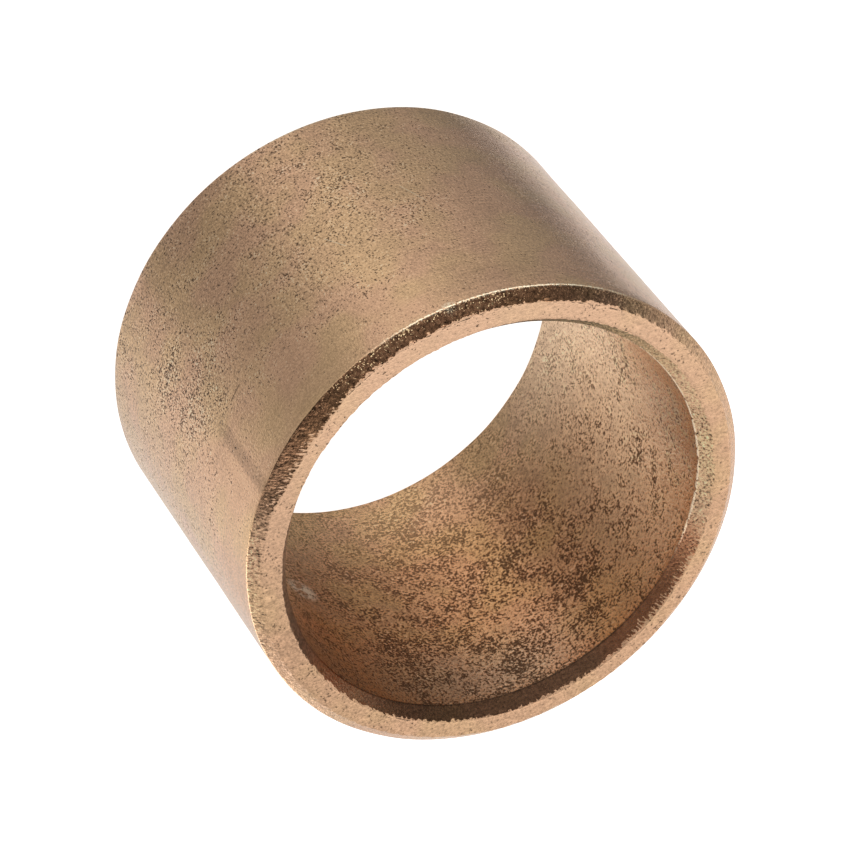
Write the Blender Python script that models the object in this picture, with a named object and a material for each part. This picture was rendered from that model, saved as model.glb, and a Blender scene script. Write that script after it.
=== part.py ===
"""Plain sleeve bushing, pressed and sintered from bronze powder as one piece.

Metres. The bore's axis lies on +Z and the lower end face stands on z = 0.
"""

import math

import bpy

# Sizes that can be set one by one. The outside diameter follows from the bore and the wall.
BORE_DIAMETER = 0.0254
WALL_THICKNESS = 0.00238
LENGTH = 0.0228
OUTER_CHAMFER = 0.00072
BORE_CHAMFER = 0.00082

FACETS_ROUND = 96
SHARP_EDGE_ANGLE = math.radians(30)

BRONZE_COLOUR = (0.50, 0.33, 0.21, 1.0)
BRONZE_ROUGHNESS = 0.42
BRONZE_METALLIC = 1.0


def clear_scene():
    """Takes away every object that the scene holds at the start."""
    for obj in list(bpy.data.objects):
        bpy.data.objects.remove(obj, do_unlink=True)


def bronze_material():
    """Bare sintered bronze, without paint or plating."""
    material = bpy.data.materials.new("sintered_bronze")
    material.use_nodes = True
    shader = material.node_tree.nodes["Principled BSDF"]
    shader.inputs["Base Color"].default_value = BRONZE_COLOUR
    shader.inputs["Roughness"].default_value = BRONZE_ROUGHNESS
    shader.inputs["Metallic"].default_value = BRONZE_METALLIC
    return material


def sleeve_profile():
    """The wall's cross-section as (radius, height) corners, going up the outside and down the bore."""
    bore_radius = BORE_DIAMETER / 2
    outer_radius = bore_radius + WALL_THICKNESS
    return [
        (outer_radius - OUTER_CHAMFER, 0.0),
        (outer_radius, OUTER_CHAMFER),
        (outer_radius, LENGTH - OUTER_CHAMFER),
        (outer_radius - OUTER_CHAMFER, LENGTH),
        (bore_radius + BORE_CHAMFER, LENGTH),
        (bore_radius, LENGTH - BORE_CHAMFER),
        (bore_radius, BORE_CHAMFER),
        (bore_radius + BORE_CHAMFER, 0.0),
    ]


def turned_ring(name, profile, facets):
    """A closed ring: the cross-section carried once round the Z axis."""
    corners = len(profile)
    vertices = []
    for step in range(facets):
        angle = 2 * math.pi * step / facets
        for radius, height in profile:
            vertices.append((radius * math.cos(angle), radius * math.sin(angle), height))
    faces = []
    for step in range(facets):
        here = step * corners
        beyond = (step + 1) % facets * corners
        for corner in range(corners):
            following = (corner + 1) % corners
            faces.append((here + corner, beyond + corner, beyond + following, here + following))
    mesh = bpy.data.meshes.new(name)
    mesh.from_pydata(vertices, [], faces)
    mesh.validate()
    mesh.shade_smooth()
    mesh.set_sharp_from_angle(angle=SHARP_EDGE_ANGLE)
    ring = bpy.data.objects.new(name, mesh)
    bpy.context.scene.collection.objects.link(ring)
    return ring


clear_scene()
sleeve = turned_ring("sleeve", sleeve_profile(), FACETS_ROUND)
sleeve.data.materials.append(bronze_material())
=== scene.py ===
"""Looks of a plain sintered bronze sleeve bushing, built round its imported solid. Metres, bore on +Z."""

import math

import bpy
import numpy as np
from mathutils import Matrix, Vector


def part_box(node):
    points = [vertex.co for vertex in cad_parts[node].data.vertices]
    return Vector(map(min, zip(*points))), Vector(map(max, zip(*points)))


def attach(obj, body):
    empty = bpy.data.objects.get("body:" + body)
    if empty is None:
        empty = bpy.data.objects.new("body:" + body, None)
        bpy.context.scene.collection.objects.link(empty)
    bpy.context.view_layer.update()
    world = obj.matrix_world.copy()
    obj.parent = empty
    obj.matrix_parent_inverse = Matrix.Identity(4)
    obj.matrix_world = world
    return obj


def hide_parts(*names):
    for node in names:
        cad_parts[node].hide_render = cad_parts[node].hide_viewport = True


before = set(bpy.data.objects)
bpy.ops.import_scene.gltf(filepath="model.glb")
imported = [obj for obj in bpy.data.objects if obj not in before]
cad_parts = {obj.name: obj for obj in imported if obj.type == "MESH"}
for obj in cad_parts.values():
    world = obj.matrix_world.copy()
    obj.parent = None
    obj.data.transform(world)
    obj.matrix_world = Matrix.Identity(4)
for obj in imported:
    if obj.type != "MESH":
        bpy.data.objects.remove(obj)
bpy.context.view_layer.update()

# The sleeve's sizes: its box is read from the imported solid, the wall and the chamfers complete it.
MM = 0.001
LOW_CORNER, HIGH_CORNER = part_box("sleeve")
OUTER_RADIUS = (HIGH_CORNER.x - LOW_CORNER.x) / 2
LENGTH = HIGH_CORNER.z - LOW_CORNER.z
WALL = 2.38 * MM
BORE_RADIUS = OUTER_RADIUS - WALL
MIDDLE_OF_WALL = OUTER_RADIUS - WALL / 2
OUTER_CHAMFER = 0.72 * MM
BORE_CHAMFER = 0.82 * MM
WALL_EDGE = 0.22 * MM
BORE_EDGE = 0.14 * MM
RIM_EDGE = 0.08 * MM

# The same in millimetres, which the finishes work in.
OUTER_RADIUS_MM, OUTER_CHAMFER_MM = OUTER_RADIUS / MM, OUTER_CHAMFER / MM
BORE_RADIUS_MM, BORE_CHAMFER_MM = BORE_RADIUS / MM, BORE_CHAMFER / MM
MIDDLE_HEIGHT_MM = LENGTH / 2 / MM

# How finely the surface is divided.
STEPS_ROUND = 780
ROWS_ON_WALL = 22
ROWS_ON_BORE = 22
ROWS_ON_CHAMFER = 9
ROWS_ON_LAND = 9
ROWS_ON_CORNER = 4

# How far the surface strays from a true turned one. Each wave runs a whole number of times round, within
# WAVES_ROUND, and up to WAVES_UP radians for each metre up. The rims stray by a sum of jagged lines, given as
# (how fine, share).
SEED = 7
WAVE_HEIGHT = 0.012 * MM
WAVE_COUNT = 40
WAVES_ROUND = (2, 22)
WAVES_UP = 900
OUTER_RIM_STRAY = 0.045 * MM
INNER_RIM_STRAY = 0.022 * MM
STRAY_REACH = 0.16 * MM
STRAY_LINES = ((260, 0.7), (40, 0.5))
LAPPING_HEADING = 155.0  # degrees from +X: the way that the end faces were rubbed down
MOUTH_LAPPING_HEADING = 122.0  # the same, where the metal was dragged over the mouth

# The mouth's chamfer was pressed a little off the axis, so its rim on the end face is a circle that comes
# nearer to the bore on the side away from this heading.
MOUTH_OFF_AXIS = 0.125 * MM
MOUTH_HEADING = 114.0
MOUTH_NARROWER = 0.03 * MM

# On one side the rim of the wall's chamfer is rubbed further in. The reach is given as two cosines.
RUBBED_RIM = 0.34 * MM
RUBBED_RIM_HEADING = 295.0
RUBBED_RIM_REACH = (0.955, 0.998)

# Pits broken out of the upper end: (degrees round, radius, width, depth).
PITS = [
    (331.0, 14.30 * MM, 0.20 * MM, 0.09 * MM),
    (333.5, 14.05 * MM, 0.24 * MM, 0.10 * MM),
    (337.0, 14.25 * MM, 0.17 * MM, 0.08 * MM),
    (345.0, 14.20 * MM, 0.20 * MM, 0.07 * MM),
    (352.0, 14.30 * MM, 0.16 * MM, 0.07 * MM),
    (228.0, 14.10 * MM, 0.18 * MM, 0.06 * MM),
    (203.0, 13.90 * MM, 0.16 * MM, 0.06 * MM),
    (101.0, 14.20 * MM, 0.16 * MM, 0.06 * MM),
    (64.0, 14.10 * MM, 0.18 * MM, 0.07 * MM),
    (22.0, 14.00 * MM, 0.15 * MM, 0.05 * MM),
]

# The light tent: brightness overhead; its dim places as (axis, full within, gone beyond, share left), with
# the angles in degrees; its bright low windows as (compass degrees, half width, brightness, foot, head), with
# foot and head as heights on a ball of radius 1; and the light that comes from round the horizon and from
# well below it as (compass degrees, brightness). Each takes over between two heights on that ball.
LIGHT_OVERHEAD = 1.0
OVERHEAD_FROM = (0.40, 0.68)
BELOW_FROM = (-0.40, -0.62)
DIM_PLACES = [
    ((-0.89, -0.16, 0.43), 15, 40, 0.10),
    ((-0.57, -0.58, 0.58), 14, 38, 0.11),
    ((0.0, -0.77, 0.64), 14, 38, 0.12),
    ((0.46, -0.62, 0.63), 14, 38, 0.11),
    ((0.28, 0.77, 0.57), 4, 36, 0.66),
]
LOW_WINDOWS = [
    (228.0, 34.0, 1.5, -0.50, 0.02),
    (26.0, 32.0, 2.4, -0.58, -0.20),
]
WINDOW_SIDE_FADE = 10.0  # degrees
WINDOW_EDGE_FADE = 0.04  # height
LIGHT_AROUND = [
    (0, 0.62),
    (14, 0.66),
    (30, 0.68),
    (60, 0.80),
    (90, 1.0),
    (122, 0.86),
    (140, 0.80),
    (153, 0.44),
    (168, 0.38),
    (190, 0.80),
    (215, 1.0),
    (252, 1.0),
    (268, 0.80),
    (285, 0.45),
    (315, 0.42),
    (338, 0.58),
]
LIGHT_FROM_BELOW = [
    (0, 0.79),
    (42, 0.81),
    (74, 0.86),
    (98, 0.88),
    (114, 0.92),
    (122, 0.86),
    (132, 0.76),
    (137, 0.50),
    (142, 0.10),
    (153, 0.16),
    (163, 0.33),
    (178, 0.38),
    (194, 0.42),
    (210, 0.50),
    (226, 0.59),
    (243, 0.72),
    (258, 0.66),
    (274, 0.46),
    (290, 0.38),
    (306, 0.35),
    (322, 0.41),
    (338, 0.50),
    (350, 0.72),
]

# The camera: its elevation and roll in degrees, its distance and its shifts in outer radii of the sleeve,
# and its lens as focal length over sensor width.
CAMERA_ELEVATION = 50.05
CAMERA_ROLL = 142.37
CAMERA_DISTANCE = 18.03
CAMERA_ASIDE = 0.0139
CAMERA_ABOVE = -0.0125
SENSOR_WIDTH = 36.0
LENS_WIDTHS = 5.497647
CLIP_START, CLIP_END = 0.01, 10.0

FLOOR_HALF_WIDTH = 0.6
FLOOR_GREY = (0.8, 0.8, 0.8, 1.0)
WHITE = (1.0, 1.0, 1.0, 1.0)


# ---------------------------------------------------------------- shape


def softened_outline(corners, radii, rows):
    """A closed outline with its corners rounded. On each corner of radius q, points run along the arc that
    touches both neighbouring sides; on each side, points are spaced evenly between the two arcs' ends."""
    corners = np.asarray(corners, float)
    count = len(corners)
    arcs = []
    for i in range(count):
        before = corners[i - 1] - corners[i]
        after = corners[(i + 1) % count] - corners[i]
        before /= np.linalg.norm(before)
        after /= np.linalg.norm(after)
        half = math.acos(np.clip(before @ after, -1, 1)) / 2
        reach = radii[i] / math.tan(half)
        bisector = before + after
        bisector /= np.linalg.norm(bisector)
        centre = corners[i] + bisector * radii[i] / math.sin(half)
        start = corners[i] + before * reach - centre
        end = corners[i] + after * reach - centre
        share = np.linspace(0, 1, ROWS_ON_CORNER)[:, None]
        spread = math.pi - 2 * half
        turned = (np.sin((1 - share) * spread) * start + np.sin(share * spread) * end) / math.sin(spread)
        arcs.append(centre + turned)
    points = []
    for i in range(count):
        points.append(arcs[i])
        here = arcs[i][-1]
        there = arcs[(i + 1) % count][0]
        share = np.linspace(0, 1, rows[i] + 1)[1:-1, None]
        points.append(here + (there - here) * share)
    return np.concatenate(points)


def sleeve_outline():
    """The wall's cross-section as (radius, height), up the outside and down the bore."""
    outer, bore = OUTER_RADIUS, BORE_RADIUS
    corners = [
        (outer, OUTER_CHAMFER),
        (outer, LENGTH - OUTER_CHAMFER),
        (outer - OUTER_CHAMFER, LENGTH),
        (bore + BORE_CHAMFER, LENGTH),
        (bore, LENGTH - BORE_CHAMFER),
        (bore, BORE_CHAMFER),
        (bore + BORE_CHAMFER, 0.0),
        (outer - OUTER_CHAMFER, 0.0),
    ]
    radii = [WALL_EDGE, WALL_EDGE, RIM_EDGE, RIM_EDGE, BORE_EDGE, BORE_EDGE, RIM_EDGE, RIM_EDGE]
    end_rows = [ROWS_ON_CHAMFER, ROWS_ON_LAND, ROWS_ON_CHAMFER]
    return softened_outline(corners, radii, [ROWS_ON_WALL, *end_rows, ROWS_ON_BORE, *end_rows])


def direction_of(degrees):
    """The (cosine, sine) of a compass angle, counted from +X towards +Y."""
    turn = math.radians(degrees)
    return math.cos(turn), math.sin(turn)


def cosine(degrees):
    return math.cos(math.radians(degrees))


def angles_round():
    return np.linspace(0, 2 * math.pi, STEPS_ROUND, endpoint=False)[:, None]


def waves(angle, height, draw):
    """Gentle unevenness: a sum of cosines that run round and up the sleeve, each whole times round."""
    round_it = draw.integers(*WAVES_ROUND, WAVE_COUNT)
    up_it = draw.uniform(-WAVES_UP, WAVES_UP, WAVE_COUNT)
    start = draw.uniform(0, 2 * math.pi, WAVE_COUNT)
    phase = angle[..., None] * round_it + height[..., None] * up_it + start
    return np.cos(phase).sum(axis=-1) * math.sqrt(2 / WAVE_COUNT)


def jagged(draw, finest):
    """One random number for each step round, smoothed over a few steps, with a spread of 1."""
    raw = draw.normal(0, 1, STEPS_ROUND)
    around = np.fft.rfft(raw)
    around *= np.exp(-((np.arange(len(around)) / finest) ** 2))
    smooth = np.fft.irfft(around, STEPS_ROUND)
    return (smooth / smooth.std())[:, None]


def stray_edges(radius, height, draw):
    """How far each point's radius moves: at the rims of the two end faces the edge wanders in and out by a
    jagged amount, which fades as a bell curve of the distance from that edge."""
    moved = np.zeros((STEPS_ROUND, len(radius)))
    rims = ((OUTER_RADIUS - OUTER_CHAMFER, OUTER_RIM_STRAY), (BORE_RADIUS + BORE_CHAMFER, INNER_RIM_STRAY))
    for edge_height in (0.0, LENGTH):
        for edge_radius, amount in rims:
            away = np.hypot(radius - edge_radius, height - edge_height)
            fade = np.exp(-((away / STRAY_REACH) ** 2))[None, :]
            moved += amount * fade * sum(share * jagged(draw, finest) for finest, share in STRAY_LINES)
    return moved


def eased(value, low, high):
    """0 up to low and 1 from high, joined by the curve 3t^2 - 2t^3."""
    share = np.clip((value - low) / (high - low), 0, 1)
    return share * share * (3 - 2 * share)


def moved_rims(radius, angle):
    """How far each point's radius moves so that the two rims of the end faces lie where the tools left them.
    The rim's own move falls off in straight lines: to nothing at the far edge of its chamfer, and to nothing
    at the other rim. Inner rim: -(narrower + off axis (1 - cos)). Outer rim: -(rubbed in)."""
    inner, outer = BORE_RADIUS + BORE_CHAMFER, OUTER_RADIUS - OUTER_CHAMFER
    from_heading = np.cos(angle - math.radians(MOUTH_HEADING))
    rubbed = eased(np.cos(angle - math.radians(RUBBED_RIM_HEADING)), *RUBBED_RIM_REACH)
    inner_share = np.interp(radius, [BORE_RADIUS, inner, outer], [0, 1, 0])
    outer_share = np.interp(radius, [inner, outer, OUTER_RADIUS], [0, 1, 0])
    narrower = MOUTH_NARROWER + MOUTH_OFF_AXIS * (1 - from_heading)
    return -inner_share * narrower - outer_share * RUBBED_RIM * rubbed


def pitted(x, y, z):
    """Heights with the pits pressed in: each pit is a bell curve of the distance from its centre."""
    upper = z > LENGTH - OUTER_CHAMFER
    for degrees, radius, width, depth in PITS:
        across, along = direction_of(degrees)
        away = np.hypot(x - radius * across, y - radius * along)
        z = z - upper * depth * np.exp(-((away / width) ** 2))
    return z


def turned_surface(outline):
    """The outline (radius r, height h) carried round the axis, then let stray:
    point(angle, row) = ((r + stray) cos, (r + stray) sin, h)."""
    draw = np.random.default_rng(SEED)
    angle = angles_round()
    radius, height = outline[None, :, 0], outline[None, :, 1]
    level = height + 0 * angle
    middle_wall = np.clip(np.minimum(level, LENGTH - level) / (2 * OUTER_CHAMFER), 0, 1)
    side = np.where(radius > MIDDLE_OF_WALL, 1.0, -1.0)
    stray = side * WAVE_HEIGHT * middle_wall * waves(angle + 0 * height, level, draw)
    stray += stray_edges(outline[:, 0], outline[:, 1], draw)
    outer = np.minimum(radius + stray + moved_rims(radius, angle), OUTER_RADIUS)
    x, y = outer * np.cos(angle), outer * np.sin(angle)
    return np.stack([x, y, pitted(x, y, level)], axis=-1)


def closed_both_ways(name, grid, outline):
    """A mesh from a grid of points that closes on itself in both directions, with quads facing out. Its map
    is the surface slit and laid flat: across by the angle, up by the distance walked along the outline."""
    around, along = grid.shape[:2]
    index = np.arange(around * along).reshape(around, along)
    beyond = np.roll(index, -1, axis=0)
    quads = np.stack([index, beyond, np.roll(beyond, -1, axis=1), np.roll(index, -1, axis=1)], axis=-1)
    mesh = bpy.data.meshes.new(name)
    mesh.from_pydata(grid.reshape(-1, 3).tolist(), [], quads.reshape(-1, 4).tolist())
    mesh.shade_smooth()
    walked = np.linalg.norm(np.roll(outline, -1, axis=0) - outline, axis=1)
    up = np.concatenate([[0.0], np.cumsum(walked)]) / walked.sum()
    across = np.linspace(0, 1, around + 1)[:, None] + 0 * up
    flat = np.stack([across, up + 0 * across], axis=-1)
    corners = np.stack([flat[:-1, :-1], flat[1:, :-1], flat[1:, 1:], flat[:-1, 1:]], axis=2)
    laid_flat = mesh.uv_layers.new(name="OFBake")
    laid_flat.data.foreach_set("uv", corners.ravel())
    piece = bpy.data.objects.new(name, mesh)
    bpy.context.scene.collection.objects.link(piece)
    return piece


def finish_of_each_face(outline):
    """0 on the outer wall, 1 in the bore and 2 on the ends, by the middle of each row of faces."""
    middle = (outline + np.roll(outline, -1, axis=0)) / 2
    radius, height = middle[:, 0], middle[:, 1]
    outside = radius > MIDDLE_OF_WALL
    along_wall = outside & (height > OUTER_CHAMFER) & (height < LENGTH - OUTER_CHAMFER)
    along_bore = ~outside & (height > BORE_CHAMFER) & (height < LENGTH - BORE_CHAMFER)
    of_row = np.where(along_wall, 0, np.where(along_bore, 1, 2))
    return np.tile(of_row, STEPS_ROUND).astype(np.int32)


# ---------------------------------------------------------------- finish


class Wiring:
    """A node tree written in short calls: each call adds a node and gives back one of its outputs."""

    def __init__(self, tree):
        self.tree = tree

    def put(self, socket, value):
        if isinstance(value, bpy.types.NodeSocket):
            self.tree.links.new(value, socket)
        elif value is not None:
            socket.default_value = value

    def node(self, kind, inputs=None, output=0, **settings):
        made = self.tree.nodes.new(kind)
        for key, value in settings.items():
            setattr(made, key, value)
        for key, value in (inputs or {}).items():
            self.put(made.inputs[key], value)
        return made.outputs[output]

    def math(self, operation, a, b=None, clamp=False):
        return self.node("ShaderNodeMath", {0: a, 1: b}, operation=operation, use_clamp=clamp)

    def times(self, first, *others):
        for other in others:
            first = self.math("MULTIPLY", first, other)
        return first

    def total(self, first, *others):
        for other in others:
            first = self.math("ADD", first, other)
        return first

    def less(self, first, other):
        return self.math("SUBTRACT", first, other)

    def most(self, first, *others):
        for other in others:
            first = self.math("MAXIMUM", first, other)
        return first

    def vector(self, operation, a, b=None, output=0):
        return self.node("ShaderNodeVectorMath", {0: a, 1: b}, output, operation=operation)

    def between(self, value, low, high, to_low=0.0, to_high=1.0, kind="SMOOTHSTEP"):
        """to_low where value is at or under low, to_high where it is at or over high, eased in between."""
        if low > high:
            low, high, to_low, to_high = high, low, to_high, to_low
        return self.node(
            "ShaderNodeMapRange",
            {"Value": value, "From Min": low, "From Max": high, "To Min": to_low, "To Max": to_high},
            interpolation_type=kind,
        )

    def mix(self, factor, a, b, blend="MIX"):
        made = self.tree.nodes.new("ShaderNodeMix")
        made.data_type = "RGBA"
        made.blend_type = blend
        self.put(made.inputs["Factor"], factor)
        self.put(made.inputs[6], a)
        self.put(made.inputs[7], b)
        return made.outputs[2]

    def grey(self, value):
        return self.node("ShaderNodeCombineColor", {0: value, 1: value, 2: value})

    def ramp(self, factor, stops):
        """Grey steps joined by straight slopes. stops are (position, grey)."""
        made = self.tree.nodes.new("ShaderNodeValToRGB")
        steps = made.color_ramp.elements
        while len(steps) < len(stops):
            steps.new(1.0)
        for step, (position, grey) in zip(steps, stops):
            step.position = position
            step.color = (grey, grey, grey, 1.0)
        self.put(made.inputs[0], factor)
        return made.outputs[0]


class Finish(Wiring):
    """A material with its shader at hand. Sizes and distances are in millimetres, angles in degrees."""

    def __init__(self, name):
        self.material = bpy.data.materials.new(name)
        self.material.use_nodes = True
        super().__init__(self.material.node_tree)
        self.shader = self.tree.nodes["Principled BSDF"]
        self.put(self.shader.inputs["Metallic"], 1.0)
        self.here = self.node("ShaderNodeTexCoord", output="Object")
        flat = self.vector("MULTIPLY", self.here, (1 / MM, 1 / MM, 0.0))
        self.radius = self.vector("LENGTH", flat, output="Value")
        self.heading = self.vector("NORMALIZE", flat)
        split = self.tree.nodes.new("ShaderNodeSeparateXYZ")
        self.put(split.inputs[0], self.here)
        self.height = self.math("DIVIDE", split.outputs["Z"], MM)
        from_middle = self.less(self.height, MIDDLE_HEIGHT_MM)
        self.from_end = self.less(MIDDLE_HEIGHT_MM, self.math("ABSOLUTE", from_middle))

    def clouds(self, size, detail=2.0, rough=0.5, heading=0.0, shift=0.0):
        """Soft lumps about 0, mostly within 0.2 of it. size is one lump's, or its size along a heading,
        across it and upwards."""
        sizes = size if isinstance(size, tuple) else (size, size, size)
        place = self.node(
            "ShaderNodeMapping",
            {
                "Vector": self.here,
                "Location": (shift * MM, shift * MM, shift * MM),
                "Rotation": (0.0, 0.0, math.radians(heading)),
                "Scale": tuple(one * MM for one in sizes),
            },
            vector_type="TEXTURE",
        )
        inputs = {"Vector": place, "Scale": 1.0, "Detail": detail, "Roughness": rough}
        return self.less(self.node("ShaderNodeTexNoise", inputs, "Fac"), 0.5)

    def edge(self, radius, from_end, narrow, wide):
        """1 along the ring at this radius and distance from either end, 0 from wide away."""
        sideways = self.less(self.radius, radius)
        along = self.less(self.from_end, from_end)
        offset = self.node("ShaderNodeCombineXYZ", {0: sideways, 1: along})
        away = self.vector("LENGTH", offset, output="Value")
        return self.between(away, wide, narrow)

    def cosine_from(self, degrees):
        """The cosine of the angle round the sleeve from this compass angle."""
        return self.vector("DOT_PRODUCT", self.heading, (*direction_of(degrees), 0.0), "Value")

    def facing(self, degrees, low, high):
        """1 on the side that faces this compass angle, eased from cosine low to cosine high."""
        return self.between(self.cosine_from(degrees), low, high)

    def near(self, degrees, radius, height, narrow, wide):
        """1 round a point on the sleeve, 0 from wide away."""
        across, along = direction_of(degrees)
        point = (radius * across * MM, radius * along * MM, height * MM)
        away = self.vector("DISTANCE", self.here, point, "Value")
        return self.between(away, wide * MM, narrow * MM)

    def scratch(self, start, end, width):
        """1 along a straight scratch on the outer wall, 0 from half its width away. start and end are
        (degrees, height). The nearest point of the line is found by how far along it the place lies."""
        ends = []
        for degrees, height in (start, end):
            x, y = direction_of(degrees)
            ends.append(Vector((x * OUTER_RADIUS, y * OUTER_RADIUS, height * MM)))
        run = ends[1] - ends[0]
        from_start = self.vector("SUBTRACT", self.here, tuple(ends[0]))
        along = self.vector("DOT_PRODUCT", from_start, tuple(run / run.length_squared), "Value")
        along = self.math("MULTIPLY", along, 1.0, clamp=True)
        shares = self.node("ShaderNodeCombineXYZ", {0: along, 1: along, 2: along})
        nearest = self.vector("MULTIPLY", tuple(run), shares)
        away = self.vector("DISTANCE", from_start, nearest, "Value")
        return self.between(away, width / 2 * MM, width / 6 * MM)

    def shaded(self, colour, *shades):
        """The colour made lighter or darker by the shades' total, 0 leaving it as it is."""
        return self.mix(1.0, colour, self.grey(self.total(1.0, *shades)), blend="MULTIPLY")

    def tinted(self, share, colour, tint):
        """The colour, with this share of it multiplied by the tint."""
        return self.mix(share, colour, self.mix(1.0, colour, tint, blend="MULTIPLY"))

    def surface(self, colour, gloss, relief, level=None):
        """Joins colour, roughness and relief, a height in millimetres, to the shader. Where level is 1 the
        surface faces straight along the axis, away from the sleeve's middle."""
        facing = self.node("ShaderNodeBump", {"Height": relief, "Strength": 1.0, "Distance": MM})
        if level is not None:
            outwards = self.math("SIGN", self.less(self.height, MIDDLE_HEIGHT_MM))
            along_axis = self.node("ShaderNodeCombineXYZ", {2: outwards})
            facing = self.vector("NORMALIZE", self.mix(level, facing, along_axis))
        self.put(self.shader.inputs["Base Color"], colour)
        self.put(self.shader.inputs["Roughness"], gloss)
        self.put(self.shader.inputs["Normal"], facing)
        return self.material


# The bronze, and what lies on it.
PINK_BRONZE = (0.81, 0.49, 0.30, 1.0)
STRAW_BRONZE = (0.80, 0.515, 0.285, 1.0)
# Pale fresh bronze for the pale scratches and the worn rim, and for painted glints on the flecks.
GLINT_AND_FRESH_BRONZE = (1.0, 0.86, 0.62, 1.0)
# Painted golden glints on the chamfers.
GOLDEN_GLINT = (1.0, 0.74, 0.42, 1.0)
# A painted glint along the rim of the wall, on metal partly worn bright.
RIM_WEAR_AND_GLINT = (1.0, 0.80, 0.56, 1.0)
# A painted highlight along the edge of the bore.
BORE_EDGE_GLINT = (1.0, 0.77, 0.54, 1.0)
# Painted light on one side of the end face.
LIT_FACE = (1.0, 0.655, 0.445, 1.0)
# A paler colour on one side of the bore.
PALER_BORE = (1.0, 0.71, 0.48, 1.0)
HAZY_BORE = (1.0, 0.80, 0.64, 1.0)
OILY_BORE = (0.50, 0.41, 0.33, 1.0)
MATT_FILM = (0.34, 0.25, 0.175, 1.0)
OPEN_PORE = (0.11, 0.063, 0.036, 1.0)
DARK_OIL = (0.24, 0.135, 0.08, 1.0)
PALE_DUST = (1.0, 0.85, 0.67, 1.0)
OILY_RED = (0.97, 0.40, 0.20, 1.0)

# Tints that the colour under them is multiplied by, and the tint of the shine.
WARM_TINT = (1.0, 0.98, 0.93, 1.0)
# Makes one side of the bore darker.
DARKER_SIDE_TINT = (0.84, 0.73, 0.63, 1.0)
OLD_OIL_TINT = (0.70, 0.60, 0.56, 1.0)
OLIVE_TINT = (0.66, 0.68, 0.60, 1.0)
SHINE_TINT = (1.0, 0.92, 0.84, 1.0)

# Streaks left by the rubbing, in millimetres: along it, across it and upwards.
STREAKS = (0.45, 0.09, 0.25)


def rim_wear_and_glint(look, grain):
    """How far a painted glint lies along the rim of the wall, on metal partly worn bright, in a broken line
    with one thicker spot. It is kept to the side where the light glints.
    """
    line = look.edge(OUTER_RADIUS_MM, OUTER_CHAMFER_MM, 0.07, 0.13)
    line = look.times(line, look.between(grain, -0.12, 0.08), look.facing(236.0, 0.80, 0.95))
    spot = look.times(look.near(250.5, OUTER_RADIUS_MM, 22.1, 0.10, 0.60), look.between(grain, -0.06, 0.06))
    return look.most(line, spot)


def glinting_bore_edge(look, grain):
    """How far a painted highlight lies along the edge of the bore, in a broken line on one side."""
    breaks = look.clouds(0.5, 1.0, shift=55.0)
    return look.times(
        look.edge(BORE_RADIUS_MM, BORE_CHAMFER_MM, 0.05, 0.11),
        look.facing(168.0, 0.62, 0.88),
        look.between(look.total(grain, look.times(breaks, 0.8)), -0.14, 0.02),
    )


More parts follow.
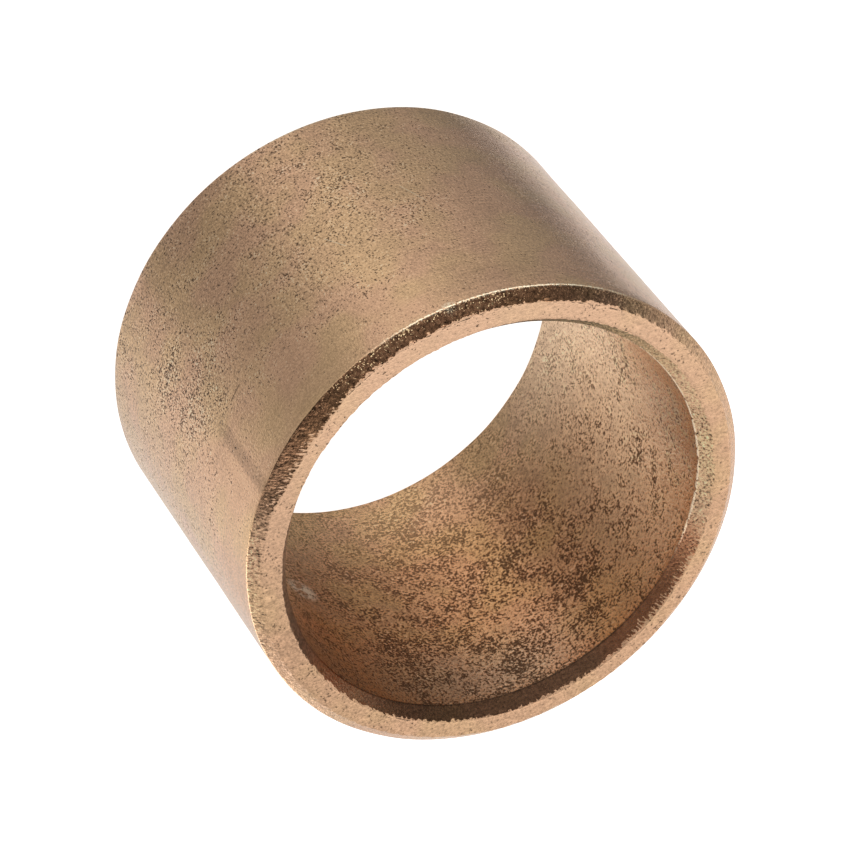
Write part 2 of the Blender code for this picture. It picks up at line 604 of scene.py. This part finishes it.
def burnished_wall():
    """The outside: slid through a die, so finely porous under a satin skin, with faint lines round it, pale
    flecks painted as glints, and a painted glint along its rim, partly worn bright. The pores are more open
    on one side and away from the upper end. Handling has left a groove with a raised lip and a few scratches;
    the groove is painted darker and the lip lighter, as painted shade and highlight. A painted shadow line
    runs along the axis, with painted light beside it."""
    look = Finish("burnished_bronze")
    patches = look.clouds(3.0, 2.0, 0.6)
    small_patches = look.clouds(0.7, 1.0, shift=31.0)
    grain = look.clouds((0.125, 0.125, 0.15), 1.5, 0.65)
    lines = look.clouds((2.4, 2.4, 0.10), 1.0)
    open_side = look.times(look.facing(290.0, 0.1, 0.95), look.between(look.height, 21.0, 12.0))
    rubbed_open = look.most(
        look.near(305.0, OUTER_RADIUS_MM, 12.0, 0.5, 3.8),
        look.near(312.0, OUTER_RADIUS_MM, 8.5, 0.4, 2.6),
    )
    openness = look.total(
        look.times(patches, 0.25),
        look.times(small_patches, 0.22),
        look.times(open_side, 0.075),
        look.times(rubbed_open, 0.06),
        -0.025,
    )
    pores = look.between(look.less(grain, openness), -0.12, -0.22)
    # Pale flecks on the grain, painted as glints.
    glint_flecks = look.between(look.total(grain, openness), 0.19, 0.27)
    # A painted glint along the rim, partly worn bright.
    worn_glint = rim_wear_and_glint(look, grain)
    # A painted shadow line along the axis, and painted light beside it.
    shadow_line = look.times(look.facing(306.8, 0.9992, 0.99998), look.between(look.height, 12.5, 17.5))
    light_beside_shadow_line = look.times(look.facing(309.9, 0.9993, 0.99997), look.between(look.height, 14.0, 19.0))
    groove = look.scratch((307.0, 7.9), (313.2, 8.1), 0.34)
    raised_lip = look.scratch((311.0, 7.2), (313.0, 7.4), 0.40)
    dark_scratch = look.scratch((296.8, 15.3), (300.6, 15.4), 0.13)
    pale_scratches = look.most(
        look.scratch((241.5, 9.6), (238.6, 11.7), 0.07),
        look.scratch((262.6, 11.4), (259.8, 13.0), 0.07),
    )
    dim_side = look.facing(280.0, 0.2, 0.95)
    # Darker near the rim on this side.
    darker_corner = look.near(236.0, OUTER_RADIUS_MM, 21.5, 1.0, 6.0)

    colour = look.mix(look.between(look.clouds(3.4, 1.0, shift=77.0), -0.14, 0.14), PINK_BRONZE, STRAW_BRONZE)
    nearer_upper_end = look.between(look.height, 2.0, 22.0, -0.12, 0.10, kind="LINEAR")
    colour = look.shaded(
        colour,
        look.times(grain, look.total(1.1, look.times(open_side, 0.7), look.times(rubbed_open, 1.2))),
        look.times(lines, 0.35),
        look.times(patches, 0.3),
        look.times(dim_side, nearer_upper_end),
        look.times(darker_corner, -0.15),
        # Painted shadow line along the axis, with painted light beside it.
        look.times(shadow_line, -0.26),
        look.times(light_beside_shadow_line, 0.10),
        # The groove is painted darker and its raised lip lighter: painted shade and highlight on a real
        # groove.
        look.times(groove, -0.30),
        look.times(raised_lip, 0.25),
    )
    colour = look.mix(look.times(pores, 0.78), colour, OPEN_PORE)
    colour = look.mix(look.times(dark_scratch, 0.75), colour, OPEN_PORE)
    bright = look.most(look.times(look.most(glint_flecks, pale_scratches), 0.6), worn_glint)
    colour = look.mix(bright, colour, GLINT_AND_FRESH_BRONZE)
    gloss = look.total(0.22, look.times(grain, 0.25), look.times(pores, 0.3), look.times(worn_glint, -0.06))
    relief = look.total(
        look.times(grain, 0.024),
        look.times(pores, -0.012),
        look.times(lines, 0.004),
        look.times(groove, -0.02),
    )
    return look.surface(colour, gloss, relief)


def open_bore():
    """The bore: larger pores left open to hold the oil, in clusters, under a warmer and darker skin, with
    pale flecks painted as glints and a painted highlight along its edge. The pores are softer towards the
    lower end and fewer on one side, which is also paler, the colour is darker on another side, and a little
    pale dust sits on one side."""
    look = Finish("porous_bronze")
    patches = look.clouds(2.6, 2.0, 0.6, shift=13.0)
    small_patches = look.clouds(0.8, 1.0, shift=47.0)
    grain = look.clouds(0.17, 2.5, 0.7, shift=5.0)
    # One side of the bore: paler, with fewer pores.
    paler_side = look.facing(155.0, 0.5, 0.97)
    openness = look.total(
        0.080, look.times(patches, 0.34), look.times(small_patches, 0.3), look.times(paler_side, -0.07)
    )
    pores = look.between(look.less(grain, openness), -0.06, -0.18)
    pores = look.times(pores, look.between(look.height, 1.0, 13.0, 0.6, 1.0))
    # Pale flecks on the grain, painted as glints.
    glint_flecks = look.between(look.total(grain, look.times(openness, 0.5)), 0.18, 0.27)
    # A painted highlight along the edge of the bore.
    bright_edge = glinting_bore_edge(look, grain)
    # Darker on this side of the bore, less so near the lower end.
    darker_side = look.times(look.facing(70.0, -0.1, 0.7), look.between(look.height, 2.0, 10.0, 0.3, 1.0))
    lighter_side = look.facing(115.0, 0.2, 0.85)
    lightest_side = look.facing(72.0, 0.75, 0.98)
    near_mouth = look.times(
        look.total(look.times(lighter_side, 0.12), look.times(lightest_side, 0.18)),
        look.between(look.height, 13.0, 20.0),
    )
    light_band = look.facing(73.0, 0.93, 0.995)
    oily_mouth = look.times(look.facing(20.0, 0.1, 0.7), look.between(look.height, 14.0, 21.0))
    hazy_mouth = look.times(look.facing(176.0, 0.80, 0.95), look.between(look.height, 13.0, 19.0))
    dust = look.times(
        look.near(23.6, BORE_RADIUS_MM, 10.9, 0.5, 1.3),
        look.between(look.total(small_patches, grain), -0.12, 0.02),
    )

    colour = look.mix(look.between(look.clouds(3.0, 1.0, shift=90.0), -0.14, 0.14), PINK_BRONZE, STRAW_BRONZE)
    colour = look.tinted(1.0, colour, WARM_TINT)
    colour = look.mix(look.times(oily_mouth, 0.85), colour, OILY_BORE)
    colour = look.mix(look.times(paler_side, 0.85), colour, PALER_BORE)
    colour = look.mix(look.times(hazy_mouth, 0.9), colour, HAZY_BORE)
    colour = look.shaded(
        colour,
        look.times(grain, 1.8),
        look.times(patches, 0.4),
        look.times(small_patches, 0.6),
        near_mouth,
        look.times(light_band, 0.20),
        -0.05,
    )
    colour = look.tinted(darker_side, colour, DARKER_SIDE_TINT)
    colour = look.mix(look.times(pores, 0.82), colour, OPEN_PORE)
    colour = look.mix(look.times(glint_flecks, 0.5), colour, GLINT_AND_FRESH_BRONZE)
    colour = look.mix(bright_edge, colour, BORE_EDGE_GLINT)
    colour = look.mix(look.times(dust, 0.95), colour, PALE_DUST)
    gloss = look.total(0.27, look.times(grain, 0.3), look.times(pores, 0.3), look.times(dust, 0.3))
    relief = look.total(look.times(grain, 0.035), look.times(pores, -0.018))
    look.put(look.shader.inputs["Metallic"], look.less(1.0, dust))
    look.put(look.shader.inputs["Specular Tint"], SHINE_TINT)
    return look.surface(colour, gloss, relief, level=look.times(bright_edge, 0.9))


def pressed_end():
    """An end: the flat face rubbed down one way, with painted light on one side of it and painted shade on
    another, and with the metal dragged in ragged teeth and hairs over its rims, and the coarse pressed
    chamfers on both sides of it, which hold old oil and carry painted glints, partly on worn metal. The outer
    chamfer is painted darker on its rubbed side, as painted shade."""
    look = Finish("pressed_bronze")
    outer_rim = (OUTER_RADIUS - OUTER_CHAMFER) / MM
    inner_rim = (BORE_RADIUS + BORE_CHAMFER) / MM
    grain = look.clouds(0.14, 1.5, 0.6, shift=23.0)
    coarse = look.clouds(0.26, 2.0, 0.65, shift=11.0)
    rubbed = look.clouds(STREAKS, 1.0, heading=LAPPING_HEADING)
    patches = look.clouds(1.2, 2.0, 0.6, shift=3.0)

    # Past each rim the face carries on level for a ragged way before the chamfer falls.
    moved_inner_rim = look.total(
        look.times(look.cosine_from(MOUTH_HEADING), MOUTH_OFF_AXIS / MM),
        inner_rim - (MOUTH_NARROWER + MOUTH_OFF_AXIS) / MM,
    )
    rubbed_side = look.facing(RUBBED_RIM_HEADING, *RUBBED_RIM_REACH)
    moved_outer_rim = look.total(look.times(rubbed_side, -RUBBED_RIM / MM), outer_rim)
    past_rim = look.most(look.less(look.radius, moved_outer_rim), look.less(moved_inner_rim, look.radius))
    hairy_side = look.times(look.facing(318.0, 0.70, 0.96), look.between(look.radius, inner_rim, outer_rim))
    hairs = look.times(look.between(rubbed, 0.03, 0.18, 0.0, 0.42), hairy_side)
    mouth_rubbed = look.clouds(STREAKS, 1.0, heading=MOUTH_LAPPING_HEADING, shift=37.0)
    mouth_hairs = look.times(
        look.between(mouth_rubbed, 0.0, 0.16, 0.0, 0.30),
        look.facing(120.0, 0.85, 0.97),
        look.between(look.radius, outer_rim, inner_rim),
    )
    teeth = look.between(look.total(coarse, look.times(patches, 0.7)), -0.18, 0.24, 0.0, 0.13)
    on_face = look.between(look.less(past_rim, look.total(teeth, hairs, mouth_hairs)), 0.04, 0.0)
    on_chamfer = look.less(1.0, on_face)
    on_outer_chamfer = look.times(on_chamfer, look.between(look.radius, inner_rim, outer_rim))

    pits = look.times(look.between(look.less(grain, look.times(patches, 0.35)), -0.17, -0.24), on_face)
    near_wall = look.between(look.radius, OUTER_RADIUS_MM - 0.55, OUTER_RADIUS_MM - 0.05)
    fine = look.clouds(0.10, 1.0, shift=61.0)
    rough_side = look.times(look.facing(265.0, -0.1, 0.6), on_outer_chamfer)
    # The side where the rim is rubbed in, where the outer chamfer is also painted darker as painted shade.
    rubbed_and_shaded_side = look.facing(299.0, 0.92, 0.985)
    calm_side = look.most(rubbed_and_shaded_side, look.facing(212.0, 0.90, 0.975))
    sparks = look.times(
        look.between(look.total(fine, look.times(near_wall, 0.09), look.times(patches, 0.3)), 0.19, 0.25),
        rough_side,
        look.total(1.0, look.times(calm_side, -0.85)),
    )
    # A painted glint along the rim of the wall, partly worn bright.
    worn_glint = rim_wear_and_glint(look, grain)
    on_mouth = look.less(on_chamfer, on_outer_chamfer)
    lit_mouth = look.times(look.facing(180.0, 0.60, 0.93), on_mouth)
    coarse_mouth = look.times(look.facing(146.0, 0.84, 0.96), on_mouth)
    worn_over_mouth = look.times(look.facing(204.0, 0.78, 0.93), on_mouth)
    olive_mouth = look.times(look.facing(214.0, 0.84, 0.97), on_mouth)
    oily_mouth = look.most(look.facing(68.0, 0.45, 0.95), look.facing(15.0, 0.6, 0.97))
    matt_film = look.most(look.facing(338.0, 0.88, 0.98), look.facing(275.0, 0.1, 0.5))
    matt_film = look.times(matt_film, on_mouth)
    # A painted highlight along the edge of the bore.
    bright_edge = glinting_bore_edge(look, grain)
    oily_edge = look.times(look.edge(BORE_RADIUS_MM, BORE_CHAMFER_MM, 0.07, 0.14), oily_mouth)
    red_mouth = look.times(look.facing(112.0, 0.90, 0.98), on_mouth)
    redder = look.times(rough_side, look.facing(262.0, 0.55, 0.90), 0.45)
    # Painted light on one side of the end face, and below it painted shade on another.
    lit_face_side = look.times(look.facing(250.0, -0.3, 1.0), on_face)
    dim_face = look.times(look.facing(342.0, 0.6, 1.0), on_face)
    dim_chamfer = look.times(look.facing(0.0, 0.85, 0.99), on_outer_chamfer)

    straw = look.between(look.clouds(2.8, 1.0, shift=77.0), -0.10, 0.22, 0.0, 0.7)
    colour = look.mix(straw, PINK_BRONZE, STRAW_BRONZE)
    colour = look.mix(look.times(matt_film, 0.85), colour, MATT_FILM)
    colour = look.shaded(
        colour,
        look.times(grain, look.total(1.2, look.times(matt_film, 1.5))),
        look.times(rubbed, on_face, 0.5),
        look.times(coarse, on_chamfer, 0.8),
        look.times(coarse, rough_side, look.total(2.6, look.times(calm_side, -1.9))),
        look.times(dim_chamfer, -0.12),
        # Painted shade on the rubbed side of the outer chamfer.
        look.times(rubbed_and_shaded_side, on_outer_chamfer, -0.36),
        look.times(coarse, lit_mouth, 2.0),
        look.times(grain, coarse_mouth, 2.6),
        look.times(rubbed, hairy_side, on_chamfer, look.total(2.4, look.times(rubbed_and_shaded_side, -1.3))),
        look.times(patches, 0.15),
        look.times(dim_face, -0.12),
    )
    colour = look.mix(look.times(lit_face_side, 0.40), colour, LIT_FACE)
    colour = look.tinted(redder, colour, PINK_BRONZE)
    colour = look.tinted(olive_mouth, colour, OLIVE_TINT)
    colour = look.tinted(look.times(on_mouth, oily_mouth), colour, OLD_OIL_TINT)
    colour = look.mix(look.times(red_mouth, 0.8), colour, look.shaded(OILY_RED, look.times(coarse, 1.5)))
    colour = look.mix(look.times(pits, 0.75), colour, OPEN_PORE)
    colour = look.mix(look.times(coarse_mouth, look.between(grain, -0.10, -0.19), 0.75), colour, OPEN_PORE)
    # Painted golden glints on the lit side of the mouth's chamfer.
    colour = look.mix(look.times(lit_mouth, look.between(fine, 0.02, 0.14)), colour, GOLDEN_GLINT)
    # Painted golden glints, the sparks, on the outer chamfer.
    colour = look.mix(sparks, colour, GOLDEN_GLINT)
    # A painted glint along the rim of the wall, partly worn bright.
    colour = look.mix(worn_glint, colour, RIM_WEAR_AND_GLINT)
    colour = look.mix(bright_edge, colour, BORE_EDGE_GLINT)
    colour = look.mix(look.times(oily_edge, 0.85), colour, DARK_OIL)
    gloss = look.total(
        0.27,
        look.times(grain, 0.2),
        look.times(pits, 0.3),
        look.times(worn_glint, -0.08),
        look.times(matt_film, 0.25),
    )
    relief = look.total(
        look.times(grain, 0.02),
        look.times(rubbed, on_face, 0.012),
        look.times(coarse, on_chamfer, 0.012),
        look.times(coarse, on_outer_chamfer, look.total(0.024, look.times(calm_side, -0.018))),
        look.times(rubbed, hairy_side, on_chamfer, look.total(0.03, look.times(rubbed_and_shaded_side, -0.018))),
        look.times(sparks, 0.06),
        look.times(pits, -0.015),
    )
    level = look.most(
        look.times(on_face, look.between(past_rim, 0.0, 0.01)),
        look.times(sparks, 0.8),
        look.times(bright_edge, 0.9),
        look.times(worn_over_mouth, 0.42),
    )
    return look.surface(colour, gloss, relief, level=level)


# ---------------------------------------------------------------- stage


def light_tent():
    """Soft light from all round, as inside a white tent, with dim places where the camera stands.

    The light that comes from a direction is one even brightness overhead, a ramp that follows the compass
    near the horizon, and another such ramp from well below it. Each dim place takes down what is there by
    the angle to its axis, and the low windows open between compass angles under the horizon."""
    world = bpy.data.worlds.new("light_tent")
    bpy.context.scene.world = world
    world.use_nodes = True
    wiring = Wiring(world.node_tree)
    background = world.node_tree.nodes["Background"]
    direction = wiring.node("ShaderNodeTexCoord", output="Generated")
    split = world.node_tree.nodes.new("ShaderNodeSeparateXYZ")
    wiring.put(split.inputs[0], direction)
    compass = wiring.math("ARCTAN2", split.outputs["Y"], split.outputs["X"])
    turn = wiring.math("FRACT", wiring.total(wiring.math("DIVIDE", compass, 2 * math.pi), 1.0))
    around = wiring.ramp(turn, [(degrees / 360, grey) for degrees, grey in LIGHT_AROUND])
    below = wiring.ramp(turn, [(degrees / 360, grey) for degrees, grey in LIGHT_FROM_BELOW])
    height = split.outputs["Z"]
    light = wiring.mix(wiring.between(height, *OVERHEAD_FROM), around, wiring.grey(LIGHT_OVERHEAD))
    left = 1.0
    for axis, core, rim, share_left in DIM_PLACES:
        along_axis = wiring.vector("DOT_PRODUCT", direction, tuple(Vector(axis).normalized()), "Value")
        lobe = wiring.between(along_axis, cosine(rim), cosine(core), 1.0, share_left)
        left = wiring.math("MINIMUM", left, lobe)
    light = wiring.mix(1.0, light, wiring.grey(left), blend="MULTIPLY")
    light = wiring.mix(wiring.between(height, *BELOW_FROM), light, below)
    level = wiring.vector("NORMALIZE", wiring.vector("MULTIPLY", direction, (1.0, 1.0, 0.0)))
    for middle, half_width, brightness, foot, head in LOW_WINDOWS:
        across = wiring.vector("DOT_PRODUCT", level, (*direction_of(middle), 0.0), "Value")
        window = wiring.times(
            wiring.between(across, cosine(half_width), cosine(half_width - WINDOW_SIDE_FADE)),
            wiring.between(height, foot - WINDOW_EDGE_FADE, foot + WINDOW_EDGE_FADE),
            wiring.between(height, head + WINDOW_EDGE_FADE, head - WINDOW_EDGE_FADE),
        )
        light = wiring.mix(window, light, wiring.grey(brightness))
    seen = wiring.node("ShaderNodeLightPath", output="Is Camera Ray")
    wiring.put(background.inputs["Color"], wiring.mix(seen, light, WHITE))
    background.inputs["Strength"].default_value = 1.0


def pale_floor():
    """A white floor that only the camera sees: the sleeve doesn't mirror it and isn't lit by it."""
    corners = np.array([(-1, -1, 0), (1, -1, 0), (1, 1, 0), (-1, 1, 0)]) * FLOOR_HALF_WIDTH
    mesh = bpy.data.meshes.new("floor")
    mesh.from_pydata(corners.tolist(), [], [(0, 1, 2, 3)])
    floor = bpy.data.objects.new("floor", mesh)
    bpy.context.scene.collection.objects.link(floor)
    material = bpy.data.materials.new("pale_floor")
    material.use_nodes = True
    shader = material.node_tree.nodes["Principled BSDF"]
    shader.inputs["Base Color"].default_value = FLOOR_GREY
    shader.inputs["Roughness"].default_value = 0.9
    shader.inputs["Specular IOR Level"].default_value = 0.0
    shader.inputs["Emission Color"].default_value = WHITE
    shader.inputs["Emission Strength"].default_value = 1.0
    mesh.materials.append(material)
    floor.visible_glossy = False
    floor.visible_diffuse = False


def camera():
    """A long lens that looks down on the upper end, rolled so that the bore points down to the right."""
    elevation = math.radians(CAMERA_ELEVATION)
    roll = math.radians(CAMERA_ROLL)
    distance = CAMERA_DISTANCE * OUTER_RADIUS
    aside, above = CAMERA_ASIDE * OUTER_RADIUS, CAMERA_ABOVE * OUTER_RADIUS
    away = Vector((0.0, -math.cos(elevation), math.sin(elevation)))
    right = Vector((1.0, 0.0, 0.0))
    up = right.cross(-away)
    level = math.cos(roll) * right + math.sin(roll) * up
    upright = -math.sin(roll) * right + math.cos(roll) * up
    centre = Vector((0.0, 0.0, LENGTH / 2))
    lens = bpy.data.cameras.new("camera")
    lens.sensor_width = SENSOR_WIDTH
    lens.lens = SENSOR_WIDTH * LENS_WIDTHS
    lens.clip_start = CLIP_START
    lens.clip_end = CLIP_END
    stand = bpy.data.objects.new("camera", lens)
    bpy.context.scene.collection.objects.link(stand)
    turned = Matrix((level, upright, away)).transposed().to_4x4()
    place = centre + away * distance + level * aside + upright * above
    stand.matrix_world = Matrix.Translation(place) @ turned
    bpy.context.scene.camera = stand


outline = sleeve_outline()
bushing = closed_both_ways("bronze_sleeve", turned_surface(outline), outline)
for made in (burnished_wall, open_bore, pressed_end):
    bushing.data.materials.append(made())
bushing.data.polygons.foreach_set("material_index", finish_of_each_face(outline))
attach(bushing, "root")
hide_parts("sleeve")

light_tent()
pale_floor()
camera()
bpy.context.scene.view_settings.view_transform = "Standard"
